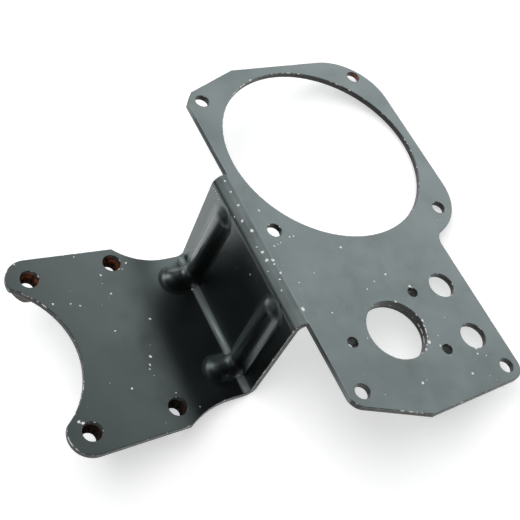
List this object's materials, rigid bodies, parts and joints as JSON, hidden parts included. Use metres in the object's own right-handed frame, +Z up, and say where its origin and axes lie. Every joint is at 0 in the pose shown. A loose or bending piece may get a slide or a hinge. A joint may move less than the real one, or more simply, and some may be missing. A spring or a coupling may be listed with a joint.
{
  "type": "instrument cluster bracket",
  "caption": "Folded steel plate bracket that lifts a large dial, a small gauge and warning lamps above a bolted base, with ribs pressed across its lower bend.",
  "frame": {"origin": "centre of the base plate's bolt pattern, on the plate's upper face", "axes": "+Z up out of both plates, +X from the base plate to the dial plate, +Y along the bends towards the large dial"},
  "size_m": [0.2145, 0.203, 0.0695],
  "materials": {
    "paint": "semi-gloss black with chips",
    "bare_steel": "dull steel with light rust"
  },
  "bodies": {
    "root": {"bracket": "paint", "weld_nuts": "bare_steel", "gauge_ring": "paint"}
  },
  "joints": []
}
